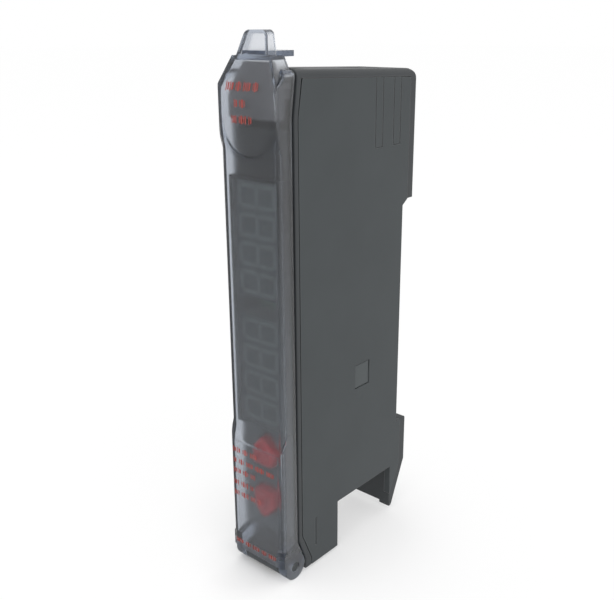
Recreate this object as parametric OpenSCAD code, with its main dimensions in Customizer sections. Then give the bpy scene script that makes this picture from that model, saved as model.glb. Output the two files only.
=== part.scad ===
// Slim fibre optic sensor amplifier for a 35 mm rail: hollow case with a side cover, hinged clear cover,
// fibre lock, turned eight digit display and two push keys. Millimetres, +Z towards the fibre end,
// +Y towards the rail, origin at the middle of the rail seat.

/* [Case] */
// Width of the case along the rail
case_w = 10; // [10:0.5:14]
// Depth of the case from the cover seam to the rear face
case_d = 25.5; // [25.5:0.5:34]
// Length of the case from its lower end to its fibre end
case_h = 69; // [68.5:0.5:80]
// Thickness of the moulded walls
wall = 1; // [0.8:0.1:1.2]
// Radius of the long edges at the fibre end
edge_r = 1; // [0.4:0.1:1.2]
// Radius of the rear corner at the fibre end
corner_r = 1.5; // [0.5:0.1:2]
// Height by which the slanted fibre end lies above its nominal height at the front
end_rise = 0.65; // [0.3:0.05:0.8]
// Height by which it lies below it at the rear
end_drop = 0.25; // [0:0.05:0.3]
// Gap that shows as a seam between two fixed mouldings
seam = 0.08; // [0.06:0.01:0.15]
// Gap in front of the side cover, where it shows as a shadow line
front_seam = 0.15; // [0.08:0.01:0.25]
// Clearance between pieces that slip into each other
slip = 0.15; // [0.1:0.01:0.2]

/* [Side cover] */
// Width of the case edge in front of the side cover
band = 0.85; // [0.6:0.05:1]
// Width of the case edge in front of the side cover beside the hinge
low_band = 1.35; // [1:0.05:1.6]
// Width of the case edge above the side cover
top_band = 1.1; // [0.8:0.05:1.4]
// Width of the case edge behind the side cover
rear_band = 1.4; // [1:0.05:1.6]
// Width and depth of the grooves moulded into the side cover
groove_w = 0.18; // [0.15:0.01:0.4]
groove_depth = 0.1; // [0.06:0.02:0.3]
// Width of the short mark beside the hinge
rib_w = 0.5; // [0.3:0.05:0.8]
// Length of the fibre depth marks
mark_l = 9.2; // [6:0.1:12]
// Size of the signal window along the depth of the case
window_d = 3.1; // [2:0.1:4]
// Size of the signal window along the length of the case
window_h = 3.5; // [2:0.1:5]
// Height of the signal window's middle above the lower end
window_z = 26.3; // [20:0.1:32]
// Distance of the signal window's middle from the seam
window_y = 14.1; // [10:0.1:17]
// Depth by which the signal window lies below the surface
window_sunk = 0.12; // [0.05:0.01:0.2]

/* [Rail seat] */
// Height of the rail gap between the two hooks
rail_w = 35.5; // [35.2:0.1:36]
// Depth of the rail gap
rail_depth = 2.4; // [1.8:0.1:2.8]
// Height of the lower hook above the lower end
rail_low = 15.2; // [14:0.1:17]
// Flat length under the upper hook
hook_flat = 1.1; // [0.6:0.1:1.4]
// Height of the slanted lead-in at the upper hook
hook_lead = 0.9; // [0.4:0.1:1.4]

/* [Connector bay] */
// Depth of the front block below the bay's ceiling
block_d = 8.6; // [8:0.1:9]
// Thickness of the foot below the rail seat
foot_d = 3.8; // [3.2:0.1:4.4]
// Height of the bay
bay_h = 7.7; // [7:0.1:9]
// Height of the foot's underside between its skids
foot_rise = 0.8; // [0.6:0.1:1.1]
// Height of the skids' underside
skid_z = 0.35; // [0.2:0.05:0.5]
// Thickness of the foot at its lower end
toe = 0.8; // [0.6:0.1:1.2]
// Width of each skid under the foot
skid_w = 2; // [1.5:0.1:3]
// Number of connector pins
pins = 4; // [2:1:4]
// Distance between connector pins
pin_pitch = 2; // [1.5:0.1:2]
// Radius of a connector pin
pin_r = 0.35; // [0.25:0.05:0.45]
// Depth of the connector socket
socket_depth = 3; // [2:0.1:4]

/* [Clear cover] */
// Depth of the cover over the display
cover_d = 2.9; // [2.9:0.1:4]
// Height by which both ends of the cover stand proud of its middle
pad = 0.45; // [0.3:0.05:0.6]
// Thickness of the cover's walls
cover_t = 0.6; // [0.5:0.05:0.7]
// Radius of the cover's long front edges
cover_r = 0.9; // [0.75:0.05:1.2]
// Gap between the cover and the case
cover_gap = 0.35; // [0.25:0.05:0.4]
// Length of the sloping seam at the fibre end
head_l = 5; // [3:0.1:7]
// Depth by which the seam slopes back at the fibre end
head_step = 0.7; // [0.4:0.05:0.9]
// Height of the cover's roof above the case
roof_up = 2.2; // [2:0.1:3]
// Width of the cover's roof
roof_w = 6.4; // [5.8:0.1:7]
// Height of the sloping shoulders
shoulder_h = 3.6; // [3:0.1:4.5]
// Height of the leaning front above which the roof begins
lean_h = 4.6; // [3.5:0.1:5.5]
// Distance by which the leaning front steps back
lean_back = 1.35; // [1:0.05:1.5]
// Distance from the seam at which the rim along the case begins, at the foot of the shoulders
rim_foot = 3.05; // [2.6:0.05:3.1]
// Distance from the seam at which the rim reaches the height of the case
rim_top = 1.2; // [0.8:0.05:1.6]
// Height of the raised lower end of the cover
low_pad_h = 20.3; // [19:0.1:21]
// Height of the ramp above that end
pad_ramp = 1.3; // [0.8:0.1:1.6]
// Width of the slope round the half round of the head
pad_slope = 0.8; // [0.5:0.1:1]
// Width of the lift tab at its root and at its tip
tab_w = 5.1; // [4:0.1:5.4]
tab_tip_w = 3.4; // [2.5:0.1:3.8]
// Height of the lift tab
tab_h = 2.9; // [2:0.1:4]
// Radius of the lift tab's corners
tab_r = 0.9; // [0.6:0.05:1]
// Depth of the lift tab's rim
tab_rim = 1.4; // [1:0.1:1.8]
// Width of the end tongue
tongue_w = 3.8; // [3:0.1:4]
// Reach of the end tongue behind the seam
tongue_reach = 3.5; // [2:0.1:4]
// Thickness of the end tongue
tongue_t = 0.7; // [0.5:0.05:0.9]

/* [Cover hinge] */
// Distance of the hinge axis in front of the seam
hinge_y = 0.87; // [0.8:0.01:0.95]
// Height of the hinge axis above the lower end
hinge_z = 1.5; // [1.4:0.05:1.6]
// Radius of the hinge ears
ear_r = 1.9; // [1.7:0.05:1.9]
// Thickness of the hinge ears
ear_t = 1.55; // [1.3:0.05:1.7]
// Radius of the hinge barrel between the ears
barrel_r = 1.85; // [1.6:0.05:1.85]
// Radius of the stub pins
stub_r = 0.7; // [0.5:0.05:0.8]
// Radial clearance of the pins
pin_clear = 0.05; // [0.03:0.01:0.08]
// Depth and lower height of the case cut-out behind the ears
cut_d = 1.4; // [1.35:0.05:1.6]
cut_low = 1.6; // [1.4:0.05:1.8]
// Height of the slanted part of that cut-out
cut_slope = 3.7; // [3.5:0.1:4]

/* [Fibre lock] */
// Radius of the fibre bores
fibre_r = 1.15; // [0.8:0.05:1.25]
// Distance between the two fibres
fibre_pitch = 4.1; // [3.8:0.1:4.4]
// Distance of the rear fibre from the rear face
fibre_rear = 4.4; // [4.1:0.1:4.8]
// Length of the fibre bores
bore_l = 6.4; // [5:0.1:7]
// Length of the lever's tongue
lever_l = 6.75; // [5.5:0.05:7.5]
// Thickness of the lever's tongue
lever_t = 1.2; // [0.9:0.05:1.3]
// Width of the lever's tip under the cover's roof
lever_tip_w = 4.2; // [3.5:0.1:4.4]
// Distance of the lever's axis behind the seam
pivot_y = 2; // [1.9:0.05:2.2]
// Distance of the lever's axis below the fibre end
pivot_drop = 2.2; // [2.15:0.05:2.4]
// Radius of the lever pin
lever_pin_r = 0.6; // [0.5:0.05:0.65]
// Radius of the lever's barrel
lever_barrel_r = 1.1; // [1:0.05:1.1]
// Length of the cam from the lever's axis
cam_l = 1.7; // [1.5:0.05:1.7]
// Thickness of the clamp plate
clamp_t = 1.1; // [0.8:0.1:1.2]
// Distance by which the clamp plate lets go
clamp_travel = 0.6; // [0.4:0.05:0.6]

/* [Display] */
// Height of the display hood above the lower end
hood_low = 22.4; // [21.6:0.1:24]
// Thickness of the hood's walls
hood_t = 0.4; // [0.3:0.05:0.5]
// Free length for a finger between the hood and the lever
finger_gap = 5.7; // [4:0.1:7]
// Height of a digit, across the case
digit_h = 6.5; // [5.5:0.1:6.6]
// Share of the digits' spacing that a digit takes up
digit_fill = 0.85; // [0.7:0.01:0.88]
// Width of a digit's strokes
stroke = 0.55; // [0.4:0.05:0.6]
// Extra distance between the two groups of digits
group_gap = 2.8; // [2:0.1:3.4]
// Free length of the hood beyond the digits
hood_end = 0.6; // [0.55:0.05:1.2]
// Thickness of the display's filter window
filter_t = 0.5; // [0.4:0.05:0.7]
// Depth of the light windows in the display
segment_t = 0.25; // [0.2:0.05:0.4]

/* [Keys] */
// Height of each key's middle above the lower end
up_key_z = 18.6; // [18.3:0.1:18.7]
down_key_z = 10.4; // [10.2:0.1:11.5]
// Width and height of a key
key_w = 3.7; // [3.4:0.1:4.4]
key_h = 4.4; // [4:0.1:4.8]
// Height of a key in front of the panel
key_proud = 1.3; // [0.8:0.1:1.4]
// Travel of a key
key_travel = 0.3; // [0.2:0.05:0.4]
// Thickness of the front panel
panel_t = 0.5; // [0.4:0.05:0.6]

/* [Boards] */
// Thickness of both boards
board_t = 0.8; // [0.6:0.1:1]
// Distance of the display board behind the seam
board_y = 3.2; // [3:0.1:3.4]
// Gap between the main board and the left wall
board_stand = 0.6; // [0.55:0.05:0.8]

/* [Hidden] */
$fn = 48;
over = 1;
half = case_w / 2;
inner = half - wall;
rail_floor = case_d - rail_depth;
rail_top = rail_low + rail_w;
rail_mid = rail_low + rail_w / 2;
bay_rear = case_d - foot_d;
slant_h = bay_h;
cut_high = cut_low + cut_slope;
head_z = case_h - head_l;
end_slope = (end_rise + end_drop) / (case_d - head_step);
low_z = wall + bay_h;

cover_front = cover_d + pad;
roof_z = case_h + roof_up;
roof_half = roof_w / 2;
shoulder_z = roof_z - shoulder_h;
lean_z = roof_z - lean_h;
roof_front = cover_front - lean_back;
rim_z = case_h + end_rise;
rim_r = edge_r + 0.1;
front_low = hinge_z + 0.7;
ear_in = half - ear_t;
cheek_z = hinge_z + 3;
tongue_drop = 0.2;
head_pad_z = case_h - 5.2;
head_pad_r = half - 0.5;
tab_lean = lean_back / lean_h;

lever_top = roof_z - cover_t - slip;
lever_low = lever_top - lever_l;
lever_half = half - cover_t - 0.5;
pivot_z = case_h - pivot_drop;
lever_back = 0.7;
slot_d = pivot_y + lever_barrel_r + 0.3;
slot_half = inner - 0.1;
slot_z = lever_low - 1.2;

panel_gap = 0.25;
panel_half = half - cover_t - panel_gap;
panel_low = cut_high + 0.4;
panel_high = slot_z;
hood_front = cover_d - cover_t - panel_gap;
hood_high = panel_high - finger_gap;
digit_pitch = (hood_high - hood_low - group_gap - 2 * hood_end) / 8;
digit_w = digit_pitch * digit_fill;
group_l = 4 * digit_pitch;
sub_z = hood_low + hood_end + group_l / 2;
main_z = sub_z + group_l + group_gap;
face_y = -hood_front + filter_t + 0.35;
display_half = panel_half - hood_t - slip;

top_in = case_h - wall;
holder_top = top_in - clamp_t - 0.85;
lamp_r = 1.45;
lamp_seat = 1.1;
lamp_h = 2.1;
holder_low = max(holder_top - bore_l - lamp_seat, rail_top + wall + lamp_h);
bore_low = holder_low + lamp_seat;
fibre_y = [case_d - fibre_rear, case_d - fibre_rear - fibre_pitch];
clamp_front = pivot_y + cam_l + 0.3;
clamp_hole_r = fibre_r + clamp_travel / 2 + 0.1;
clamp_half = clamp_hole_r + 0.6;

open_half = inner - 0.2;
open_low = down_key_z - key_h / 2 - 1;
board_half = inner - 0.3;
switch_h = 1;
plunger_h = 0.4;
stem_end = board_y - switch_h - plunger_h - key_travel - 0.05;
collar = 0.5;
key_lap = 0.2;
stem_l = 0.4;
main_x = -inner + board_stand;
main_face = main_x + board_t;
main_y = [board_y + board_t + 1.2, rail_floor - wall - 0.3];
socket_wall = 0.6;
main_low = low_z + socket_depth + socket_wall + 0.3;
main_high = holder_low - 0.9;
board_l = main_high - main_low;
board_d = main_y[1] - main_y[0];
chip_t = 1.15;
lead_t = 0.4;
lead_w = 0.3;
socket_half = 2.4;
socket_l = (pins - 1) * pin_pitch + 2;
socket_y = (block_d + bay_rear) / 2;

// Moves the model so that the middle of the rail seat is the origin
module seat() translate([0, -rail_floor, -rail_mid]) children();

// Extrudes a (Y, Z) outline across the width, centred
module along_x(w) rotate([90, 0, 90]) linear_extrude(w, center = true) children();

// Extrudes a (Y, Z) outline from x0 to x1
module between_x(x0, x1) translate([(x0 + x1) / 2, 0, 0]) along_x(x1 - x0) children();

// Extrudes an (X, Z) outline from y0 back to y1
module along_y(y0, y1) translate([0, y1, 0]) rotate([90, 0, 0]) linear_extrude(y1 - y0) children();

// Extrudes an (X, Y) outline from z0 up to z1
module along_z(z0, z1) translate([0, 0, z0]) linear_extrude(z1 - z0) children();

// A block between two corners
module block(a, b) translate(a) cube(b - a);

// A rod along X between x0 and x1
module rod_x(x0, x1, y, z, r) translate([x0, y, z]) rotate([0, 90, 0]) cylinder(h = x1 - x0, r = r);

// What a round takes off a corner whose material lies towards +x and +y
module corner_off(r) difference() {
  translate([-over, -over]) square(r + over);
  translate([r, r]) circle(r);
}

// Side view of the case: hinge cut-out, sloping seam, rail hooks, foot and connector bay
module case_side() difference() {
  polygon([
    [cut_d, 0], [cut_d, cut_low], [0, cut_high], [0, head_z], [head_step, case_h], [head_step, case_h + end_rise],
    [case_d, case_h - end_drop], [case_d, rail_top], [case_d - hook_flat, rail_top], [rail_floor, rail_top - hook_lead],
    [rail_floor, rail_low], [case_d, rail_low], [case_d, slant_h], [bay_rear + toe, foot_rise],
    [bay_rear, foot_rise], [bay_rear, bay_h], [block_d, bay_h], [block_d, 0]
  ]);
  translate([case_d, case_h - end_drop + end_slope * corner_r]) rotate(180) corner_off(corner_r);
}

// Space below the slanted fibre end with its rounded long edges
module case_end() translate([0, case_d, case_h - end_drop]) rotate([-atan(end_slope), 0, 0])
  along_y(-2 * case_d, case_d) difference() {
    translate([-half, -2 * case_h]) square([case_w, 2 * case_h]);
    translate([half, 0]) rotate(180) corner_off(edge_r);
    translate([-half, 0]) rotate(-90) corner_off(edge_r);
  }

// Hollow of the case in side view
module case_hollow() polygon([
  [cut_d + wall, wall], [block_d - wall, wall], [block_d - wall, low_z], [rail_floor - wall, low_z],
  [rail_floor - wall, rail_top + wall], [case_d - wall, rail_top + wall], [case_d - wall, top_in],
  [head_step + wall, top_in], [wall, head_z], [wall, cut_high + wall / 2], [cut_d + wall, cut_low + wall / 2]
]);

// Outline of the side cover, grown by g where a case edge frames it and by f towards the front
module side_outline(g, f) polygon([
  [cut_d + low_band - f, -over * g], [cut_d + low_band - f, cut_low - 0.3], [band - f, cut_high + 0.5],
  [band - f, head_z], [band + head_step - f, case_h + end_rise - top_band + g],
  [case_d - rear_band + g, case_h - end_drop - top_band + g],
  [case_d - rear_band + g, rail_top - hook_lead * (rear_band - hook_flat) / (rail_depth - hook_flat)],
  [rail_floor + over * g, rail_top - hook_lead], [rail_floor + over * g, rail_low + over * g],
  [case_d - rear_band + g, rail_low + over * g], [case_d - rear_band + g, slant_h - 0.3],
  [bay_rear - over * g, foot_rise + foot_d / 2 - 3 * g], [bay_rear - over * g, bay_h - over * g],
  [block_d + over * g, bay_h - over * g], [block_d + over * g, -over * g]
]);

// Rounded arrow outline of a key that points up or, with dir -1, down
module key_outline(dir, grow) hull() {
  r = 0.7;
  for (s = [-1, 1]) translate([s * (key_w / 2 - r), -dir * (key_h / 2 - r)]) circle(r + grow, $fn = 32);
  for (s = [-1, 1]) translate([s * (key_w / 2 - r), dir * key_h * 0.05]) circle(r + grow, $fn = 32);
  translate([0, dir * (key_h / 2 - r)]) circle(r + grow, $fn = 32);
}

// Opening and guide outline of a signal window in side view
module window_outline(grow) translate([window_y, window_z])
  square([window_d + 2 * grow, window_h + 2 * grow], center = true);

// Case moulding: left wall, frame around the side cover, rail hooks, foot, hinge barrel and board pegs
module case() color([0.22, 0.23, 0.24]) {
  difference() {
    union() {
      intersection() {
        along_x(case_w) case_side();
        case_end();
      }
      hinge_barrel();
      for (s = [-1, 1]) foot_skid(s);
    }
    between_x(-inner, inner) case_hollow();
    between_x(inner, half + over) side_outline(seam, front_seam);
    block([-open_half, -over, open_low], [open_half, wall + over, slot_z + over]);
    block([-slot_half, -over, slot_z], [slot_half, slot_d, case_h + over]);
    between_x(-half - over, -inner + over) window_outline(seam);
    rod_x(-inner - wall * 0.6, 0, pivot_y, pivot_z, lever_pin_r + pin_clear);
    for (y = fibre_y) fibre_mouth(y);
    block([-socket_half, socket_y - socket_l / 2, bay_h - over], [socket_half, socket_y + socket_l / 2, low_z + over]);
  }
  for (y = [main_y[0] + 1.5, main_y[1] - 1.5], z = [main_low + 1.5, main_high - 1.5])
    rod_x(-inner - wall / 2, main_x, y, z, 0.8);
}

// Barrel at the lower front with the two stub pins that carry the clear cover
module hinge_barrel() {
  barrel_half = ear_in - panel_gap;
  along_x(2 * barrel_half) union() {
    translate([-hinge_y, hinge_z]) circle(barrel_r);
    polygon([[-hinge_y, hinge_z - barrel_r], [cut_d, 0], [cut_d + wall, 0], [cut_d + wall, cut_low],
      [wall / 2, cut_high], [0, cut_high], [-hinge_y, hinge_z + barrel_r]]);
  }
  rod_x(-half + 0.3, half - 0.3, -hinge_y, hinge_z, stub_r);
}

// Skid under one side of the foot
module foot_skid(s) {
  x0 = s > 0 ? half - skid_w : -half;
  between_x(x0, x0 + skid_w) polygon([[bay_rear, foot_rise + 0.2], [bay_rear, skid_z],
    [bay_rear + toe - 0.25, skid_z], [bay_rear + toe, foot_rise], [bay_rear + toe, foot_rise + 0.2]]);
}

// Fibre opening through the fibre end, with a lead-in
module fibre_mouth(y) translate([0, y, 0]) {
  translate([0, 0, top_in - over]) cylinder(h = wall + 2 * over, r = fibre_r + 0.1);
  translate([0, 0, case_h - 0.4]) cylinder(h = over, r1 = fibre_r + 0.1, r2 = fibre_r + 0.1 + over);
}

// Side cover: inset plate with fibre depth marks, window opening and the lever pin's blind hole
module side_cover() color([0.25, 0.26, 0.27]) difference() {
  between_x(inner, half) side_outline(0, 0);
  for (y = fibre_y) fibre_mark(y);
  between_x(half - groove_depth, half + over)
    translate([cut_d + low_band + 0.6, cut_low + 1.3]) square([rib_w, bay_h - cut_low - 1.5]);
  between_x(inner - over, half + over) window_outline(seam);
  rod_x(inner - over, inner + wall / 2, pivot_y, pivot_z, lever_pin_r + pin_clear);
}

// Groove in the shape of a pushed-in fibre
module fibre_mark(y) between_x(half - groove_depth, half + over) difference() {
  translate([y - 0.8 - groove_w / 2, case_h - top_band - mark_l]) square([1.6 + groove_w, mark_l + over]);
  translate([y - 0.8 + groove_w / 2, case_h - top_band - mark_l + groove_w]) square([1.6 - groove_w, mark_l + over]);
}

// Front view of the clear cover, inset by t: straight sides, sloping shoulders and roof
module cover_outline(t) {
  k = (half - roof_half) / shoulder_h;
  n = sqrt(1 + k * k);
  pts = [[half - t, -over], [half - t, shoulder_z - (n - 1) * t / k],
    [roof_half + k * t - n * t, roof_z - t]];
  polygon(concat(pts, [for (i = [2:-1:0]) [-pts[i][0], pts[i][1]]]));
}

// Front view of the rim that carries on the case's rounded end, inset by t
module rim_outline(t) {
  r = max(rim_r - t, 0.1);
  difference() {
    translate([-(half - t), -over]) square([2 * (half - t), rim_z - t + over]);
    translate([half - t, rim_z - t]) rotate(180) corner_off(r);
    translate([-(half - t), rim_z - t]) rotate(-90) corner_off(r);
  }
}

// Side view of that rim, inset by t behind its sloping front
module rim_side(t) {
  m = (rim_z - shoulder_z) / (rim_foot - rim_top);
  n = sqrt(1 + m * m) * t;
  low = shoulder_z - 2 * cover_d;
  polygon([[-rim_foot + (low - shoulder_z + n) / m, low], [-rim_top + (n - t) / m, rim_z - t],
    [case_w, rim_z - t], [case_w, low]]);
}

// Side view of the clear cover, inset by t at the leaning front and left open behind when inset
module cover_side(t) {
  n = sqrt(1 + tab_lean * tab_lean);
  rear = t > 0 ? over : -cover_gap;
  polygon([[-(cover_front - t), -over], [-(cover_front - t), lean_z - (n - 1) * t / tab_lean],
    [-(roof_front - n * t), roof_z], [head_step + rear, roof_z], [head_step + rear, case_h], [rear, head_z],
    [rear, cut_high], [rear + cut_d * 0.6, cut_low], [rear + cut_d * 0.6, -over]]);
}

// Cross section of the clear cover with rounded front edges
module cover_section(front, t) difference() {
  translate([-(half - t), -(front - t)]) square([2 * (half - t), front - t + head_step + over]);
  translate([-(half - t), -(front - t)]) corner_off(cover_r - t);
  translate([half - t, -(front - t)]) rotate(90) corner_off(cover_r - t);
}

// Ends of the cover that stand proud: the lower one runs out in a ramp, the head in a sloping half round
module pad_space(t) {
  low_end = low_pad_h - pad_ramp / 2 - over * pad_ramp / pad;
  flare = pad_slope / pad;
  between_x(-case_w, case_w) polygon([[t - cover_front - over, -over], [t - cover_front - over, low_end],
    [t - cover_d + over, low_end + (pad + 2 * over) * pad_ramp / pad], [t - cover_d + over, -over]]);
  along_y(-case_w, case_w) translate([-case_w, head_pad_z]) square([2 * case_w, roof_z]);
  translate([0, t - cover_d + over, head_pad_z]) rotate([90, 0, 0])
    cylinder(h = pad + 2 * over, r1 = head_pad_r - t + (pad + over) * flare, r2 = head_pad_r - t - over * flare);
}

// Solid of the clear cover's outside, or of its hollow when inset by t
module cover_form(t) intersection() {
  union() {
    along_z(t > 0 ? -over : front_low, roof_z) cover_section(cover_d, t);
    intersection() {
      along_z(t > 0 ? -over : front_low, roof_z) cover_section(cover_front, t);
      pad_space(t);
    }
  }
  union() {
    along_y(-case_w, case_w) cover_outline(t);
    intersection() {
      along_y(-case_w, case_w) rim_outline(t);
      along_x(2 * case_w) rim_side(t);
    }
  }
  along_x(2 * case_w) cover_side(t);
}

// Clear hinged cover: stepped shell with shoulders, lift tab, end tongue and hinge ears
module protective_cover() color([0.3, 0.32, 0.36, 0.5]) difference() {
  union() {
    difference() {
      cover_form(0);
      cover_form(cover_t);
    }
    for (s = [-1, 1]) hinge_ear(s);
    lift_tab();
    block([-tongue_w / 2, -(roof_front - cover_t), roof_z - tongue_drop],
      [tongue_w / 2, tongue_reach, roof_z - tongue_drop + tongue_t]);
  }
  rod_x(-case_w, case_w, -hinge_y, hinge_z, stub_r + pin_clear);
}

// Ear round a stub pin, thickened into the cover's side wall
module hinge_ear(s) {
  x0 = s > 0 ? ear_in : -half;
  between_x(x0, x0 + ear_t) union() {
    translate([-hinge_y, hinge_z]) circle(ear_r);
    polygon([[-(cover_front - cover_t / 2), front_low], [-(cover_front - cover_t / 2), cheek_z],
      [-cover_gap, cut_high], [-hinge_y + ear_r * cos(20), hinge_z + ear_r * sin(20)], [-hinge_y, hinge_z]]);
  }
}

// Lift tab: leaning plate with a rim round its sides and tip
module lift_tab() {
  tip_y = -roof_front + tab_h * tab_lean;
  root = roof_z - cover_t / 2;
  difference() {
    intersection() {
      along_y(-case_w, case_w) tab_outline(0);
      along_x(case_w) polygon([[-roof_front, root], [tip_y, roof_z + tab_h], [tip_y + tab_rim, roof_z + tab_h],
        [-roof_front + tab_rim + 0.3, root]]);
    }
    intersection() {
      along_y(-case_w, case_w) tab_outline(cover_t * 0.8);
      along_x(case_w) polygon([[-roof_front + cover_t, roof_z], [tip_y + cover_t, roof_z + tab_h],
        [case_w, roof_z + tab_h], [case_w, roof_z]]);
    }
  }
}

// Front view of the lift tab, inset by t, with a round between its tip and each slanting side
module tab_outline(t) {
  r = max(tab_r - t, 0.2);
  k = (tab_w - tab_tip_w) / 2 / tab_h;
  n = sqrt(1 + k * k);
  low = roof_z - cover_t;
  mid_x = tab_tip_w / 2 - t + k * (t + r) - n * r;
  mid_z = roof_z + tab_h - t - r;
  difference() {
    polygon([[-(tab_w / 2 + k * cover_t - t), low], [tab_w / 2 + k * cover_t - t, low],
      [tab_tip_w / 2 - t + k * t, roof_z + tab_h - t], [-(tab_tip_w / 2 - t + k * t), roof_z + tab_h - t]]);
    for (s = [-1, 1]) difference() {
      polygon([[s * mid_x, mid_z], [s * mid_x, mid_z + tab_h], [s * (mid_x + tab_h), mid_z + tab_h],
        [s * (mid_x + tab_h), mid_z + k * tab_h]]);
      translate([s * mid_x, mid_z]) circle(r);
    }
  }
}

// Lock lever: shouldered tongue on a barrel with the cam that pushes the clamp plate
module lock_lever() color([0.5, 0.49, 0.5]) difference() {
  union() {
    intersection() {
      along_y(-case_w, case_w) lever_outline();
      along_x(case_w) polygon([[-lever_back - lever_t, lever_low], [-lever_back - lever_t, lever_top - lever_l * 0.43],
        [-lever_back - lever_t + 0.8, lever_top], [-lever_back + 0.4, lever_top],
        [-lever_back, lever_top - lever_l * 0.6], [-lever_back, lever_low]]);
    }
    rod_x(-lever_half + 0.4, lever_half - 0.4, pivot_y, pivot_z, lever_barrel_r);
    block([-lever_half + 0.4, -lever_back - lever_t / 2, pivot_z - 0.6], [lever_half - 0.4, pivot_y, pivot_z + 0.6]);
    block([-1.5, pivot_y, pivot_z - 0.5], [1.5, pivot_y + cam_l, pivot_z + 0.5]);
  }
  rod_x(-case_w, case_w, pivot_y, pivot_z, lever_pin_r + pin_clear);
}

// Front view of the lever's tongue
module lever_outline() {
  waist = lever_top - lever_l * 0.55;
  polygon([[-lever_half, lever_low], [lever_half, lever_low], [lever_half, waist], [lever_tip_w / 2, lever_top],
    [-lever_tip_w / 2, lever_top], [-lever_half, waist]]);
}

// Steel pin between the left wall and the side cover
module lever_pin() color("silver")
  rod_x(-inner - wall * 0.5, inner + wall * 0.4, pivot_y, pivot_z, lever_pin_r);

// Sliding plate with two oversize holes that grips both fibres at once
module clamp_plate() color("silver") difference() {
  block([-clamp_half, clamp_front, holder_top + 0.15],
    [clamp_half, fibre_y[0] + clamp_hole_r + 0.9, holder_top + 0.15 + clamp_t]);
  for (y = fibre_y) translate([0, y + clamp_hole_r - fibre_r - 0.05, holder_top - over])
    cylinder(h = clamp_t + 2 * over, r = clamp_hole_r);
}

// Block with the fibre bores and a seat for a diode below each
module fibre_holder() color([0.12, 0.12, 0.13]) difference() {
  block([-inner, fibre_y[1] - 2.6, holder_low], [inner - seam, case_d - wall, holder_top]);
  for (y = fibre_y) translate([0, y, 0]) {
    translate([0, 0, holder_low - over]) cylinder(h = bore_l + lamp_seat + 2 * over, r = fibre_r);
    translate([0, 0, holder_low - over]) cylinder(h = lamp_seat + over, r = lamp_r + slip);
  }
}

// Body of a diode below a bore, with two leads to the main board
module diode(y) translate([0, y, holder_low]) {
  translate([0, 0, -1]) cylinder(h = 1.4, r = lamp_r);
  translate([0, 0, -1.8]) cylinder(h = 0.8, r = lamp_r + 0.35);
  for (s = [-0.6, 0.6]) rod_x(main_face, -lamp_r / 2, s, -1.4, 0.25);
}

// Round-topped light emitting diode
module light_source() color([0.75, 0.2, 0.2, 0.8]) {
  diode(fibre_y[0]);
  translate([0, fibre_y[0], holder_low + 0.4]) intersection() {
    translate([0, 0, -lamp_r / 2]) sphere(lamp_r * 1.05);
    cylinder(h = lamp_seat - 0.5, r = lamp_r);
  }
}

// Flat-topped light sensing diode
module light_receiver() color([0.15, 0.15, 0.2]) diode(fibre_y[1]);

// Front moulding with the display hood and the two key openings
module front_panel() color([0.13, 0.14, 0.15]) difference() {
  union() {
    block([-panel_half, -panel_t, panel_low], [panel_half, 0, panel_high]);
    block([-panel_half, -hood_front, hood_low], [panel_half, 0, hood_high]);
  }
  block([-display_half - slip, -hood_front - over, hood_low + hood_t], [display_half + slip, over, hood_high - hood_t]);
  along_y(-panel_t - over, over) {
    translate([0, up_key_z]) key_outline(1, slip);
    translate([0, down_key_z]) key_outline(-1, slip);
  }
}

// Filter plate that fills the hood's mouth
module display_window() color([0.1, 0.12, 0.13, 0.7])
  block([-display_half - slip + 0.03, -hood_front, hood_low + hood_t + 0.03],
    [display_half + slip - 0.03, -hood_front + filter_t, hood_high - hood_t - 0.03]);

// Stroke of a seven segment digit, l long between its points
module stroke_bar(l, w) polygon([[-l / 2, 0], [-l / 2 + w / 2, w / 2], [l / 2 - w / 2, w / 2], [l / 2, 0],
  [l / 2 - w / 2, -w / 2], [-l / 2 + w / 2, -w / 2]]);

// Seven strokes of a digit lying on its side, its top towards -X
module digit_strokes(w) {
  l = digit_h / 2 - stroke / 2;
  side = digit_w / 2 - stroke / 2;
  cut = stroke - w;
  for (x = [-l, 0, l]) translate([x, 0]) rotate(90) stroke_bar(2 * side - 0.1 - cut, w);
  for (x = [-l / 2, l / 2], s = [-side, side]) translate([x, s]) stroke_bar(l - 0.1 - cut, w);
}

// The strokes of the four digits of one group
module group_strokes(z, w) for (i = [-1.5:1.5]) translate([0, z + i * digit_pitch]) digit_strokes(w);

// Display body with a pocket for every stroke
module display_body(z) difference() {
  block([-display_half, face_y, z - group_l / 2], [display_half, board_y, z + group_l / 2]);
  along_y(face_y - over, face_y + segment_t) group_strokes(z, stroke);
}

// Light windows that fill the pockets
module display_strokes(z) along_y(face_y, face_y + segment_t) group_strokes(z, stroke - 0.04);

module main_display() color([0.09, 0.1, 0.1]) display_body(main_z);
module sub_display() color([0.09, 0.1, 0.1]) display_body(sub_z);
module main_segments() color([0.35, 0.38, 0.38]) display_strokes(main_z);
module sub_segments() color([0.35, 0.38, 0.38]) display_strokes(sub_z);

// Push key: cap, collar behind the panel and stem towards its switch
module push_key(z, dir) color([0.75, 0.12, 0.14]) translate([0, 0, z]) {
  along_y(-panel_t - key_proud, slip + key_lap) key_outline(dir, 0);
  along_y(slip, stem_end - stem_l) key_outline(dir, collar);
  translate([0, stem_end, 0]) rotate([90, 0, 0]) cylinder(h = stem_l + key_lap, r = 0.9);
}

module up_key() push_key(up_key_z, 1);
module down_key() push_key(down_key_z, -1);

// Push switch on the display board
module push_switch(z) color([0.2, 0.2, 0.22]) {
  block([-1.7, board_y - switch_h, z - 1.7], [1.7, board_y, z + 1.7]);
  translate([0, board_y - switch_h, z]) rotate([90, 0, 0]) cylinder(h = plunger_h, r = 0.9);
}

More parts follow.
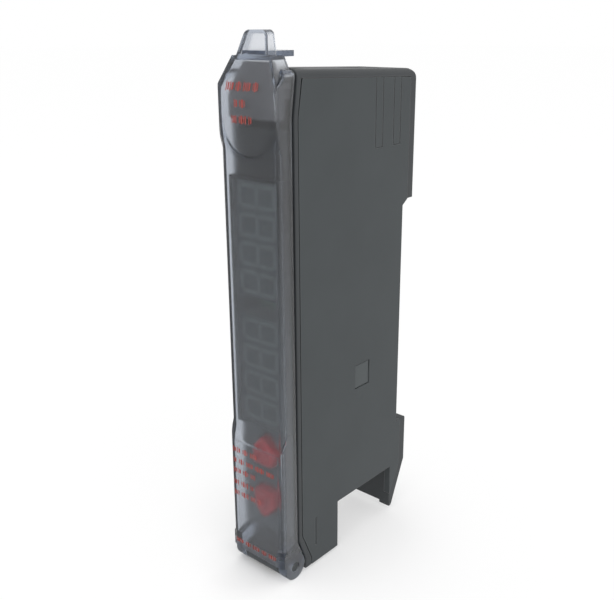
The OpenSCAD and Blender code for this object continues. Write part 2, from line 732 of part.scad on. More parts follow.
module up_switch() push_switch(up_key_z);
module down_switch() push_switch(down_key_z);

// Board that carries the digits and the switches
module display_board() color([0.1, 0.35, 0.2])
  block([-board_half, board_y, open_low + 0.3], [board_half, board_y + board_t, hood_high]);

// Board along the left wall
module main_board() color([0.1, 0.35, 0.2])
  block([main_x, main_y[0], main_low], [main_face, main_y[1], main_high]);

// Pin strip that joins the two boards
module board_link() color([0.1, 0.1, 0.1]) {
  y1 = main_y[0] + board_d * 0.09;
  z0 = main_low + board_l * 0.33;
  block([main_face, board_y + board_t, z0], [main_face + board_d * 0.11, y1, z0 + board_l * 0.22]);
}

// Flat chip with leads along two sides, its middle at (y, z) on the main board
module chip(y, z, l, w, leads) {
  block([main_face + lead_w / 2, y - w / 2, z - l / 2], [main_face + lead_w / 2 + chip_t, y + w / 2, z + l / 2]);
  step = l / leads;
  for (i = [0:leads - 1]) translate([main_face, y - w * 0.6, z - l / 2 + (i + 0.5) * step - lead_w / 2])
    cube([lead_t, w * 1.2, lead_w]);
}

module controller_chip() color([0.15, 0.15, 0.16])
  chip(main_y[0] + board_d / 2, main_low + board_l * 0.65, board_d * 0.42, board_d * 0.42, 8);
module amplifier_chip() color([0.15, 0.15, 0.16])
  chip(fibre_y[1], main_high - board_l * 0.12, board_d * 0.27, board_d * 0.22, 4);

// Diodes that signal through the side windows, one on each face of the main board
module link_emitter() color([0.2, 0.15, 0.25])
  block([main_face, window_y - window_d / 3, window_z - window_h / 3],
    [main_face + window_d / 2, window_y + window_d / 3, window_z + window_h / 3]);
module link_receiver() color([0.2, 0.15, 0.25])
  block([main_x - board_stand * 0.75, window_y - window_d / 4, window_z - window_h / 4],
    [main_x, window_y + window_d / 4, window_z + window_h / 4]);

// Signal window: plug in the wall's opening and a thin flange behind the wall
module signal_window(x0, x1, flange) color([0.17, 0.15, 0.18]) {
  between_x(x0, x1) window_outline(0);
  between_x(flange[0], flange[1]) window_outline(0.5);
}

module right_window() signal_window(inner - 0.1, half - window_sunk, [inner - 0.5, inner]);
module left_window() signal_window(window_sunk - half, -inner + 0.1, [-inner, -inner + 0.1]);

// Socket above the bay's ceiling, open downwards
module connector_housing() color([0.1, 0.1, 0.11]) difference() {
  block([-socket_half - socket_wall, socket_y - socket_l / 2 - socket_wall, low_z],
    [socket_half + socket_wall, socket_y + socket_l / 2 + socket_wall, low_z + socket_depth + socket_wall]);
  block([-socket_half, socket_y - socket_l / 2, low_z - over],
    [socket_half, socket_y + socket_l / 2, low_z + socket_depth]);
  for (i = [0:pins - 1]) translate([0, pin_y(i), low_z]) cylinder(h = 2 * socket_depth, r = pin_r + pin_clear);
}

// Depth of connector pin i
function pin_y(i) = socket_y + (i - (pins - 1) / 2) * pin_pitch;

// Angled pins from the socket to the main board
module connector_pins() color([0.8, 0.65, 0.3]) {
  bend_z = low_z + socket_depth + socket_wall + 1.2;
  for (i = [0:pins - 1]) translate([0, pin_y(i), 0]) {
    translate([0, 0, low_z + 0.4]) cylinder(h = bend_z - low_z - 0.4, r = pin_r);
    translate([0, 0, bend_z]) sphere(pin_r);
    rod_x(main_face, 0, 0, bend_z, pin_r);
  }
}

seat() case();
seat() side_cover();
seat() protective_cover();
seat() lock_lever();
seat() lever_pin();
seat() clamp_plate();
seat() fibre_holder();
seat() light_source();
seat() light_receiver();
seat() front_panel();
seat() display_window();
seat() main_display();
seat() main_segments();
seat() sub_display();
seat() sub_segments();
seat() up_key();
seat() down_key();
seat() up_switch();
seat() down_switch();
seat() display_board();
seat() main_board();
seat() board_link();
seat() controller_chip();
seat() amplifier_chip();
seat() link_emitter();
seat() link_receiver();
seat() right_window();
seat() left_window();
seat() connector_housing();
seat() connector_pins();
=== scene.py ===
import math

import bmesh
import bpy
from mathutils import Matrix, Vector
from mathutils.bvhtree import BVHTree


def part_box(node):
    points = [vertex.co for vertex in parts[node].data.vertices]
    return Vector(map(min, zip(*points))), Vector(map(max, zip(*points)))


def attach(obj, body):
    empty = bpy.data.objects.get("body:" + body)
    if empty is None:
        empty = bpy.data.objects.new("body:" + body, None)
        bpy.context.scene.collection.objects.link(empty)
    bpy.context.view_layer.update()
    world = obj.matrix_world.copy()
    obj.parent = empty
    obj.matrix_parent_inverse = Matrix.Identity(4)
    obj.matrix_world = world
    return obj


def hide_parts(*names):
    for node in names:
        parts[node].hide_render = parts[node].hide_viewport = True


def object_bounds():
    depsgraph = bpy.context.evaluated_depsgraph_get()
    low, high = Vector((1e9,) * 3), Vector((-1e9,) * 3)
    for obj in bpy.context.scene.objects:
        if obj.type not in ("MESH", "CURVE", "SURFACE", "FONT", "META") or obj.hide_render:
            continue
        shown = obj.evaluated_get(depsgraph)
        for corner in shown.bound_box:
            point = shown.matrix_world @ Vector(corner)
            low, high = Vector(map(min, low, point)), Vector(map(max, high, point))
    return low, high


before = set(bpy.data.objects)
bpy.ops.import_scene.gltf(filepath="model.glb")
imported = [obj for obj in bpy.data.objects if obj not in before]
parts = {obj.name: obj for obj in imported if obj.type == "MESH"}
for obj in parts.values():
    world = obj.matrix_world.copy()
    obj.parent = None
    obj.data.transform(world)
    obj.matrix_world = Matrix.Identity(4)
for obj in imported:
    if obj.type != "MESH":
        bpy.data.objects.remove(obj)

cad_low, cad_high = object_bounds()
scene = bpy.context.scene
scene.view_settings.view_transform = "Standard"

# The camera stands a little above the amplifier, to the right of its front, about 12 cm away.
# Its place and turn were fitted to the case's straight edges in the photograph.
camera = bpy.data.objects.new("camera", bpy.data.cameras.new("camera"))
scene.collection.objects.link(camera)
camera.data.lens = 47.787
camera.data.sensor_width = 36
camera.data.clip_start = 0.005
camera.data.clip_end = 5
camera_right = (0.752535, 0.65851, -0.007474)
camera_up = (-0.206594, 0.246839, 0.946779)
camera_back = (0.625308, -0.71094, 0.321799)
camera_place = Matrix.Translation((0.0708654, -0.0959668, 0.0418256))
camera.matrix_world = camera_place @ Matrix((camera_right, camera_up, camera_back)).transposed().to_4x4()
scene.camera = camera

# Photographer's table: one wide white sheet of paper under the amplifier, lit evenly from all round.
# It shows white and keeps a soft shadow at the amplifier's foot, most of it below the front edge.
MM = 0.001
sheet_half, sheet_gap = 2500 * MM, 0.02 * MM
sheet = bmesh.new()
bmesh.ops.create_grid(sheet, x_segments=1, y_segments=1, size=sheet_half)
bmesh.ops.translate(sheet, verts=sheet.verts, vec=(0, 0, cad_low.z - sheet_gap))
table_top = bpy.data.objects.new("table_top", bpy.data.meshes.new("table_top"))
sheet.to_mesh(table_top.data)
sheet.free()
scene.collection.objects.link(table_top)


def new_material(name):
    """A new material, its nodes, its link function and its shader."""
    material = bpy.data.materials.new(name)
    material.use_nodes = True
    tree = material.node_tree
    return material, tree.nodes, tree.links.new, tree.nodes["Principled BSDF"]


def ramp(nodes, start, end, first=0.0, last=1.0):
    """A node that turns values from start to end into values from first to last, and holds beyond."""
    node = nodes.new("ShaderNodeMapRange")
    node.inputs["From Min"].default_value = start
    node.inputs["From Max"].default_value = end
    node.inputs["To Min"].default_value = first
    node.inputs["To Max"].default_value = last
    return node


def maths(nodes, operation, kind="ShaderNodeMath"):
    node = nodes.new(kind)
    node.operation = operation
    return node


def plainly_seen(nodes, link):
    """A value of 1 for what the camera, gloss and clear plastic see, and 0 for the light on things."""
    path = nodes.new("ShaderNodeLightPath")
    seen, shown = maths(nodes, "MAXIMUM"), maths(nodes, "MAXIMUM")
    link(path.outputs["Is Camera Ray"], seen.inputs[0])
    link(path.outputs["Is Transmission Ray"], seen.inputs[1])
    link(seen.outputs[0], shown.inputs[0])
    link(path.outputs["Is Glossy Ray"], shown.inputs[1])
    return shown.outputs[0]


white_paper, nodes, link, paper = new_material("white_paper")
paper.inputs["Base Color"].default_value = (0.97, 0.97, 0.97, 1)
paper.inputs["Roughness"].default_value = 0.95
paper.inputs["Specular IOR Level"].default_value = 0
paper_glow = nodes.new("ShaderNodeEmission")
paper_glow.inputs["Color"].default_value = (1, 1, 1, 1)
paper_where = nodes.new("ShaderNodeTexCoord")
foot_reach = maths(nodes, "DISTANCE", "ShaderNodeVectorMath")
foot_reach.inputs[1].default_value = (0, -12 * MM, cad_low.z)
foot_fade = ramp(nodes, 12.5 * MM, 26 * MM, 0.4, 0.85)
front_reach = maths(nodes, "DISTANCE", "ShaderNodeVectorMath")
front_reach.inputs[1].default_value = (-2 * MM, -27.5 * MM, cad_low.z)
front_fade = ramp(nodes, 4 * MM, 8.5 * MM)
both_fades, glow_share = maths(nodes, "MULTIPLY"), maths(nodes, "MULTIPLY")
paper_mix = nodes.new("ShaderNodeMixShader")
link(paper_where.outputs["Object"], foot_reach.inputs[0])
link(foot_reach.outputs["Value"], foot_fade.inputs["Value"])
link(paper_where.outputs["Object"], front_reach.inputs[0])
link(front_reach.outputs["Value"], front_fade.inputs["Value"])
link(foot_fade.outputs["Result"], both_fades.inputs[0])
link(front_fade.outputs["Result"], both_fades.inputs[1])
link(plainly_seen(nodes, link), glow_share.inputs[0])
link(both_fades.outputs[0], glow_share.inputs[1])
link(glow_share.outputs[0], paper_mix.inputs["Fac"])
link(paper.outputs["BSDF"], paper_mix.inputs[1])
link(paper_glow.outputs["Emission"], paper_mix.inputs[2])
link(paper_mix.outputs["Shader"], nodes["Material Output"].inputs["Surface"])
table_top.data.materials.append(white_paper)

# Light tent: white walls all round give plain, even light, and two large soft boxes, at the right and at
# the front, give the smooth faces a little shape. Camera, gloss and clear plastic see the walls as white.
tent = bpy.data.worlds.new("light_tent")
scene.world = tent
tent.use_nodes = True
nodes, link = tent.node_tree.nodes, tent.node_tree.links.new
tent_light, tent_seen = nodes["Background"], nodes.new("ShaderNodeBackground")
for walls in (tent_light, tent_seen):
    walls.inputs["Color"].default_value = (1, 1, 1, 1)
    walls.inputs["Strength"].default_value = 1.0
tent_mix = nodes.new("ShaderNodeMixShader")
link(plainly_seen(nodes, link), tent_mix.inputs["Fac"])
link(tent_light.outputs[0], tent_mix.inputs[1])
link(tent_seen.outputs[0], tent_mix.inputs[2])
link(tent_mix.outputs[0], nodes["World Output"].inputs["Surface"])

lamp_aim = Vector((0, -0.01, 0))
for name, place, size, watts in (
    ("soft_box_right", Vector((0.45, -0.15, 0.4)), 0.45, 0.6),
    ("soft_box_front", Vector((-0.05, -0.5, 0.3)), 0.4, 0.4),
):
    lamp = bpy.data.objects.new(name, bpy.data.lights.new(name, "AREA"))
    scene.collection.objects.link(lamp)
    lamp.data.size = size
    lamp.data.energy = watts
    lamp.location = place
    lamp.rotation_euler = (lamp_aim - place).to_track_quat("-Z", "Y").to_euler()


def blend(nodes, first=(0, 0, 0), second=(0, 0, 0)):
    """A node that mixes two colours, from the first to the second."""
    node = nodes.new("ShaderNodeMix")
    node.data_type = "RGBA"
    node.inputs["A"].default_value = (*first, 1)
    node.inputs["B"].default_value = (*second, 1)
    return node


# Moulded skin: blotchy tone and grain, and a painted highlight that lightens the colour on rounded edges.
skin = bpy.data.node_groups.new("moulded_skin", "ShaderNodeTree")
for socket, kind, value in (
    ("Colour", "NodeSocketColor", (0.1, 0.1, 0.1, 1)),
    ("Edge Highlight", "NodeSocketColor", (0.2, 0.2, 0.2, 1)),
    ("Grain", "NodeSocketFloat", 7000.0),
    ("Edge", "NodeSocketFloat", 0.25 * MM),
    ("Smooth", "NodeSocketFloat", 0.42),
    ("Dull", "NodeSocketFloat", 0.58),
):
    skin.interface.new_socket(socket, in_out="INPUT", socket_type=kind).default_value = value
for socket, kind in (
    ("Colour", "NodeSocketColor"),
    ("Roughness", "NodeSocketFloat"),
    ("Height", "NodeSocketFloat"),
    ("Normal", "NodeSocketVector"),
):
    skin.interface.new_socket(socket, in_out="OUTPUT", socket_type=kind)
nodes, link = skin.nodes, skin.links.new
skin_in, skin_out = nodes.new("NodeGroupInput"), nodes.new("NodeGroupOutput")
skin_where = nodes.new("ShaderNodeTexCoord")
grain = nodes.new("ShaderNodeTexNoise")
grain.inputs["Detail"].default_value = 2
grain.inputs["Roughness"].default_value = 0.6
blotch = nodes.new("ShaderNodeTexNoise")
blotch.inputs["Scale"].default_value = 140
blotch.inputs["Detail"].default_value = 3
blotch_tone, grain_tone = ramp(nodes, 0, 1, 0.9, 1.1), ramp(nodes, 0, 1, 0.92, 1.08)
shade = maths(nodes, "MULTIPLY")
tint = maths(nodes, "SCALE", "ShaderNodeVectorMath")
rounded = nodes.new("ShaderNodeBevel")
rounded.samples = 6
flat = nodes.new("ShaderNodeNewGeometry")
edge_turn = maths(nodes, "DOT_PRODUCT", "ShaderNodeVectorMath")
edge_mask = ramp(nodes, 1.0, 0.75)
# Painted highlight: mixes in the lighter edge colour where the rounded normal turns away from the flat one.
painted_edge_highlight = blend(nodes)
gloss = ramp(nodes, 0, 1)
link(skin_where.outputs["Object"], grain.inputs["Vector"])
link(skin_where.outputs["Object"], blotch.inputs["Vector"])
link(skin_in.outputs["Grain"], grain.inputs["Scale"])
link(blotch.outputs["Fac"], blotch_tone.inputs["Value"])
link(grain.outputs["Fac"], grain_tone.inputs["Value"])
link(blotch_tone.outputs["Result"], shade.inputs[0])
link(grain_tone.outputs["Result"], shade.inputs[1])
link(skin_in.outputs["Colour"], tint.inputs[0])
link(shade.outputs[0], tint.inputs["Scale"])
link(skin_in.outputs["Edge"], rounded.inputs["Radius"])
link(rounded.outputs["Normal"], edge_turn.inputs[0])
link(flat.outputs["Normal"], edge_turn.inputs[1])
link(edge_turn.outputs["Value"], edge_mask.inputs["Value"])
link(edge_mask.outputs["Result"], painted_edge_highlight.inputs["Factor"])
link(tint.outputs["Vector"], painted_edge_highlight.inputs["A"])
link(skin_in.outputs["Edge Highlight"], painted_edge_highlight.inputs["B"])
link(grain.outputs["Fac"], gloss.inputs["Value"])
link(skin_in.outputs["Smooth"], gloss.inputs["To Min"])
link(skin_in.outputs["Dull"], gloss.inputs["To Max"])
link(painted_edge_highlight.outputs["Result"], skin_out.inputs["Colour"])
link(gloss.outputs["Result"], skin_out.inputs["Roughness"])
link(grain.outputs["Fac"], skin_out.inputs["Height"])
link(rounded.outputs["Normal"], skin_out.inputs["Normal"])


def moulded(name, colour, edge_highlight_colour, grain_scale=7000, edge=0.25, smooth=0.42, dull=0.58, relief=0.012):
    """A plastic with the mould's skin and a painted highlight on its rounded edges: colours are linear,
    edge and relief in mm.
    """
    material, nodes, link, surface = new_material(name)
    surface.inputs["Specular IOR Level"].default_value = 0.25
    skin_node = nodes.new("ShaderNodeGroup")
    skin_node.node_tree = skin
    skin_node.name = "skin"
    for socket, value in (
        ("Colour", (*colour, 1)), ("Edge Highlight", (*edge_highlight_colour, 1)), ("Grain", grain_scale),
        ("Edge", edge * MM), ("Smooth", smooth), ("Dull", dull),
    ):
        skin_node.inputs[socket].default_value = value
    bump = nodes.new("ShaderNodeBump")
    bump.inputs["Strength"].default_value = 0.6
    bump.inputs["Distance"].default_value = relief * MM
    link(skin_node.outputs["Colour"], surface.inputs["Base Color"])
    link(skin_node.outputs["Roughness"], surface.inputs["Roughness"])
    link(skin_node.outputs["Height"], bump.inputs["Height"])
    link(skin_node.outputs["Normal"], bump.inputs["Normal"])
    link(bump.outputs["Normal"], surface.inputs["Normal"])
    return material


def dress(material, *names):
    for name in names:
        parts[name].data.materials.clear()
        parts[name].data.materials.append(material)


def finished(name, mesh, material, body, node=None):
    """The mesh as a piece that rides on the body, in place of the node if one is named."""
    piece = bpy.data.objects.new(name, bpy.data.meshes.new(name))
    mesh.to_mesh(piece.data)
    mesh.free()
    piece.data.materials.append(material)
    scene.collection.objects.link(piece)
    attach(piece, body)
    if node:
        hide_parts(node)
    return piece


def softened(name, node, width, body, material, beside=None, snug=0.0, span=(-1, 1), melt=9):
    """A copy of a solid with its outer edges rounded by width, in mm, wherever there is room for it.
    Edges at a tight seam with the solid beside it stay sharp, as do those outside the span of heights;
    snug closes that share of the seam, and edges under melt degrees are shaded smooth."""
    same_point, same_plane = 0.001 * MM, math.radians(0.5)
    reach, tight = width * MM, 0.1 * MM
    corner, in_line, room = math.radians(35), 0.35, 0.45
    mesh = bmesh.new()
    mesh.from_mesh(parts[node].data)
    bmesh.ops.remove_doubles(mesh, verts=mesh.verts, dist=same_point)
    bmesh.ops.dissolve_limit(mesh, angle_limit=same_plane, verts=mesh.verts, edges=mesh.edges)
    neighbour = bmesh.new()
    if beside:
        neighbour.from_mesh(parts[beside].data)
    seam = BVHTree.FromBMesh(neighbour)
    neighbour.free()
    for vert in mesh.verts if snug else ():
        wall = seam.find_nearest(vert.co, 2 * tight)[0]
        if wall:
            vert.co += (wall - vert.co) * snug

    def exposed(edge):
        middle = (edge.verts[0].co + edge.verts[1].co) / 2
        return span[0] < middle.z < span[1] and not (beside and seam.find_nearest(middle, tight)[0])

    outer = {e for e in mesh.edges if e.calc_face_angle_signed(0) > corner and exposed(e)}

    def fits(edge):
        for vert, face in ((v, f) for v in edge.verts for f in edge.link_faces):
            near = next(e for e in face.edges if e is not edge and vert in e.verts)
            turn = math.sin((edge.other_vert(vert).co - vert.co).angle(near.other_vert(vert).co - vert.co))
            along = near in outer and turn < in_line
            if not along and (turn < in_line or reach / turn > room * near.calc_length()):
                return False
        return edge.calc_length() > reach / 2

    cramped = {e for e in outer if not fits(e)}
    while cramped:
        outer -= cramped
        cramped = {e for e in outer if not fits(e)}
    for edge in mesh.edges:
        edge.smooth = edge in outer or abs(edge.calc_face_angle_signed(0)) < math.radians(melt)
    for face in mesh.faces:
        face.smooth = True
    bmesh.ops.bevel(mesh, geom=[e for e in mesh.edges if e in outer], offset=reach, offset_type="OFFSET",
                    segments=3, profile=0.5, affect="EDGES", clamp_overlap=False, material=-1)
    piece = finished(name, mesh, material, body, node)
    piece.modifiers.new("flat_faces", "WEIGHTED_NORMAL").keep_sharp = True


case_plastic = moulded("case_plastic", (0.045, 0.049, 0.052), (0.12, 0.122, 0.126))
softened("case_shell", "case", 0.15, "housing", case_plastic, beside="side_cover")

# Stub ends: the two pins that carry the clear cover are moulded on the case, and their ends are pressed
# wide and round in the cover's ears, so that the cover can't slip off.
stub_y, stub_z, stub_radius = -23.97 * MM, -31.45 * MM, 0.72 * MM
stub_inner, stub_outer = 4.6 * MM, 4.95 * MM
stub_middle = (stub_inner + stub_outer) / 2
stub_round, dimple_in, dimple_deep = 0.12 * MM, 0.2 * MM, 0.05 * MM
across = Matrix.Rotation(math.radians(90), 4, "Y")
stubs = bmesh.new()
for side in (-1, 1):
    known = set(stubs.verts)
    place = Matrix.Translation((side * stub_middle, stub_y, stub_z))
    bmesh.ops.create_cone(stubs, cap_ends=True, segments=32, radius1=stub_radius, radius2=stub_radius,
                          depth=stub_outer - stub_inner, matrix=place @ across)
    end = {v for v in stubs.verts if v not in known and v.co.x * side > stub_middle}
    rim = [e for e in stubs.edges if e.verts[0] in end and e.verts[1] in end]
    bmesh.ops.bevel(stubs, geom=rim, offset=stub_round, offset_type="OFFSET", segments=3, profile=0.5,
                    affect="EDGES", material=-1)
    face = [f for f in stubs.faces if all(v.co.x * side > stub_outer - 0.001 * MM for v in f.verts)]
    bmesh.ops.inset_region(stubs, faces=face, thickness=dimple_in, depth=-dimple_deep)
finished("stub_ends", stubs, case_plastic, "housing")

# Side cover: a plate of the same plastic, snapped into the case's right side. The depth marks for the
# two fibres and one short rib mark are engraved in it.
side_plastic = moulded("side_plastic", (0.051, 0.058, 0.061), (0.13, 0.135, 0.138), edge=0.12)
softened("side_plate", "side_cover", 0.08, "housing", side_plastic, beside="case", snug=0.6)

# Signal windows: small plugs of dark plastic that passes only infrared light, pushed in from inside
# until their flanges stop them just below both sides.
window_dark = moulded("window_dark", (0.061, 0.07, 0.073), (0.08, 0.082, 0.085), grain_scale=3000, edge=0.1,
                      smooth=0.3, dull=0.4, relief=0.004)
dress(window_dark, "right_window", "left_window")

# Front panel: thin moulding with the raised hood round the digits and the openings for the keys, laid on
# the case under the clear cover. Its colour runs from pale round the keys to nearly black at its upper end,
# a painted shade for the shadow under the lever and the hood.
panel_plastic = moulded("panel_plastic", (0.02, 0.024, 0.025), (0.07, 0.075, 0.077), edge=0.15)
nodes, link = panel_plastic.node_tree.nodes, panel_plastic.node_tree.links.new
panel_where = nodes.new("ShaderNodeTexCoord")
panel_place = nodes.new("ShaderNodeSeparateXYZ")
# Painted shade: the colour darkens upwards, from the keys to the upper end under the lever and the hood.
panel_shade_height = ramp(nodes, -5 * MM, 20 * MM)
panel_painted_shade = blend(nodes, (0.12, 0.132, 0.136), (0.015, 0.018, 0.019))
link(panel_where.outputs["Object"], panel_place.inputs["Vector"])
link(panel_place.outputs["Z"], panel_shade_height.inputs["Value"])
link(panel_shade_height.outputs["Result"], panel_painted_shade.inputs["Factor"])
link(panel_painted_shade.outputs["Result"], nodes["skin"].inputs["Colour"])
softened("panel_frame", "front_panel", 0.12, "housing", panel_plastic)

# Display bodies: cast black resin blocks, their fronts lapped flat, soldered to the display board.
# Each holds the light wells of four digits.
display_black = moulded("display_black", (0.054, 0.074, 0.073), (0.066, 0.082, 0.083), grain_scale=11000,
                        edge=0.05, smooth=0.35, dull=0.5, relief=0.003)
dress(display_black, "main_display", "sub_display")

# Digit strokes: milky resin that fills the light wells, flush with the display's front and unlit.
# The digits lie on their sides, as the photograph shows them.
segment_milk = moulded("segment_milk", (0.22, 0.26, 0.26), (0.25, 0.29, 0.29), grain_scale=15000, edge=0.04,
                       smooth=0.25, dull=0.4, relief=0.002)
dress(segment_milk, "main_segments", "sub_segments")


# Filter plate: dark clear acrylic glued into the hood's mouth, polished, with the faintest waviness.
# It hides the unlit digits almost wholly.
def clear_plastic(name, colour, density, ior, rough, wave_height):
    """Clear solid plastic: white where thin, and darker with depth; its shadow lets light through."""
    material, nodes, link, surface = new_material(name)
    output = nodes["Material Output"]
    surface.inputs["Base Color"].default_value = (1, 1, 1, 1)
    surface.inputs["Transmission Weight"].default_value = 1
    surface.inputs["IOR"].default_value = ior
    where = nodes.new("ShaderNodeTexCoord")
    where.name = "where"
    wave = nodes.new("ShaderNodeTexNoise")
    wave.inputs["Scale"].default_value = 260
    wave.inputs["Detail"].default_value = 1
    haze = ramp(nodes, 0, 1, rough * 0.93, rough * 1.06)
    haze.name = "haze"
    bump = nodes.new("ShaderNodeBump")
    bump.inputs["Strength"].default_value = 0.5
    bump.inputs["Distance"].default_value = wave_height * MM
    depth = nodes.new("ShaderNodeVolumeAbsorption")
    depth.inputs["Color"].default_value = (*colour, 1)
    depth.inputs["Density"].default_value = density
    through = nodes.new("ShaderNodeBsdfTransparent")
    through.inputs["Color"].default_value = (0.95, 0.95, 0.95, 1)
    path = nodes.new("ShaderNodeLightPath")
    mix = nodes.new("ShaderNodeMixShader")
    link(where.outputs["Object"], wave.inputs["Vector"])
    link(wave.outputs["Fac"], haze.inputs["Value"])
    link(haze.outputs["Result"], surface.inputs["Roughness"])
    link(wave.outputs["Fac"], bump.inputs["Height"])
    link(bump.outputs["Normal"], surface.inputs["Normal"])
    link(depth.outputs["Volume"], output.inputs["Volume"])
    link(path.outputs["Is Shadow Ray"], mix.inputs["Fac"])
    link(surface.outputs["BSDF"], mix.inputs[1])
    link(through.outputs["BSDF"], mix.inputs[2])
    link(mix.outputs["Shader"], output.inputs["Surface"])
    return material


filter_clear = clear_plastic("filter_clear", (0.3, 0.4, 0.42), 900, 1.48, 0.08, 0.004)
dress(filter_clear, "display_window")


# Push keys: red plastic arrows with softly rounded, slightly hollow fronts. A collar behind the panel
# keeps each key in, and its stem meets the push switch.
key_red = moulded("key_red", (0.58, 0.05, 0.06), (0.65, 0.09, 0.1), grain_scale=9000, edge=0.1,
                  smooth=0.2, dull=0.3, relief=0.003)
key_collar, key_corner, key_round, stem_radius = 0.5 * MM, 0.7 * MM, 0.5 * MM, 0.9 * MM
hollow_in, hollow_deep, key_level = 0.35 * MM, 0.08 * MM, 0.001 * MM


def prism(mesh, centres, radius, front, rear):
    """A solid of round corners about the centres (x, z), from front to rear along the depth."""
    before = set(mesh.verts)
    turn = Matrix.Rotation(math.radians(90), 4, "X")
    for x, z in centres:
        place = Matrix.Translation((x, (front + rear) / 2, z)) @ turn
        bmesh.ops.create_cone(mesh, cap_ends=True, segments=24, radius1=radius, radius2=radius,
                              depth=rear - front, matrix=place)
    hull = bmesh.ops.convex_hull(mesh, input=[v for v in mesh.verts if v not in before])
    spare = {g for g in hull["geom_interior"] + hull["geom_unused"] if isinstance(g, bmesh.types.BMVert)}
    bmesh.ops.delete(mesh, geom=list(spare), context="VERTS")
    kept = [v for v in mesh.verts if v not in before]
    edges = [e for e in mesh.edges if e.verts[0] not in before]
    bmesh.ops.dissolve_limit(mesh, angle_limit=math.radians(2), verts=kept, edges=edges)


for name, body, point in (("up_key", "upper_key", 1), ("down_key", "lower_key", -1)):
    low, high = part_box(name)
    middle = (low.z + high.z) / 2
    half_wide, half_tall = (high.x - low.x) / 2 - key_collar, (high.z - low.z) / 2 - key_collar
    side_x, foot_z, shoulder_z = half_wide - key_corner, half_tall - key_corner, half_tall * 0.1
    centres = [(-side_x, middle - point * foot_z), (side_x, middle - point * foot_z),
               (-side_x, middle + point * shoulder_z), (side_x, middle + point * shoulder_z),
               (0, middle + point * foot_z)]
    cap_rear, collar_front, collar_rear, stem_front = (high.y - d * MM for d in (1.1, 1.3, 0.4, 0.6))
    key = bmesh.new()
    prism(key, centres, key_corner, low.y, cap_rear)
    rim = [e for e in key.edges if all(abs(v.co.y - low.y) < key_level for v in e.verts)]
    bmesh.ops.bevel(key, geom=rim, offset=key_round, offset_type="OFFSET", segments=5, profile=0.5,
                    affect="EDGES", material=-1)
    front = [f for f in key.faces if all(abs(v.co.y - low.y) < key_level for v in f.verts)]
    bmesh.ops.inset_region(key, faces=front, thickness=hollow_in, depth=-hollow_deep)
    prism(key, centres, key_corner + key_collar, collar_front, collar_rear)
    prism(key, [(0, middle)], stem_radius, stem_front, high.y)
    bmesh.ops.recalc_face_normals(key, faces=key.faces)
    finished(name + "_cap", key, key_red, body, name)

# Lock lever: grey tongue that the user flips to grip both fibres, moulded in tough plastic with its
# barrel and cam in one piece, and held by the pin through the barrel.
lever_plastic = moulded("lever_plastic", (0.155, 0.15, 0.152), (0.19, 0.185, 0.188), edge=0.3)
softened("lever_tongue", "lock_lever", 0.25, "lever", lever_plastic)


# Pin and clamp plate: drawn steel, with fine lines along the pull. The pin is pressed into the case,
# and the plate slides on the fibre holder.
def drawn_metal(name, colour, stretch, rough):
    material, nodes, link, surface = new_material(name)
    surface.inputs["Metallic"].default_value = 1
    where = nodes.new("ShaderNodeTexCoord")
    along = nodes.new("ShaderNodeMapping")
    along.inputs["Scale"].default_value = stretch
    lines = nodes.new("ShaderNodeTexNoise")
    lines.inputs["Scale"].default_value = 1000
    lines.inputs["Detail"].default_value = 3
    tone = blend(nodes, [c * 0.8 for c in colour], colour)
    gloss = ramp(nodes, 0, 1, rough * 0.7, rough * 1.4)
    link(where.outputs["Object"], along.inputs["Vector"])
    link(along.outputs["Vector"], lines.inputs["Vector"])
    link(lines.outputs["Fac"], tone.inputs["Factor"])
    link(tone.outputs["Result"], surface.inputs["Base Color"])
    link(lines.outputs["Fac"], gloss.inputs["Value"])
    link(gloss.outputs["Result"], surface.inputs["Roughness"])
    return material


dress(drawn_metal("steel", (0.62, 0.62, 0.63), (0.1, 6, 6), 0.3), "lever_pin", "clamp_plate")

# Fibre holder and connector socket: black moulded blocks with a satin skin, clipped in between the
# case's walls.
holder_plastic = moulded("holder_plastic", (0.02, 0.02, 0.022), (0.045, 0.045, 0.048), edge=0.15)
dress(holder_plastic, "fibre_holder", "connector_housing")

# Connector pins: round drawn brass with a thin bright plating, bent over and soldered to the main
# board.
dress(drawn_metal("brass_pin", (0.78, 0.57, 0.25), (6, 6, 0.1), 0.22), "connector_pins")

# Diodes: the light source is cast in clear red resin, the receiver and the signal diodes in dark resin.
# All are soldered to the main board.
lamp_clear = moulded("lamp_clear", (0.5, 0.06, 0.06), (0.6, 0.12, 0.12), grain_scale=4000, edge=0.1,
                     smooth=0.08, dull=0.16, relief=0.001)
dress(lamp_clear, "light_source")
sensor_dark = moulded("sensor_dark", (0.03, 0.02, 0.04), (0.06, 0.05, 0.07), grain_scale=4000, edge=0.1,
                      smooth=0.1, dull=0.2, relief=0.001)
dress(sensor_dark, "light_receiver", "link_emitter", "link_receiver")

# Circuit boards: glass cloth laminate under green solder mask, with copper tracks showing lighter
# through the mask and round tinned pads.
board_green, nodes, link, board_surface = new_material("board_green")
board_surface.inputs["Roughness"].default_value = 0.3
board_where = nodes.new("ShaderNodeTexCoord")
board_turn = nodes.new("ShaderNodeMapping")
board_turn.inputs["Rotation"].default_value = (math.radians(90), 0, math.radians(90))
tracks = nodes.new("ShaderNodeTexBrick")
tracks.inputs["Scale"].default_value = 500
tracks.inputs["Mortar Size"].default_value = 0.09
tracks.inputs["Color1"].default_value = (0.014, 0.12, 0.045, 1)
tracks.inputs["Color2"].default_value = (0.016, 0.135, 0.05, 1)
tracks.inputs["Mortar"].default_value = (0.03, 0.22, 0.085, 1)
pads = nodes.new("ShaderNodeTexVoronoi")
pads.inputs["Scale"].default_value = 420
pad_mask = ramp(nodes, 0.2, 0.17)
tinned = blend(nodes, second=(0.6, 0.6, 0.58))
board_bump = nodes.new("ShaderNodeBump")
board_bump.inputs["Distance"].default_value = 0.03 * MM
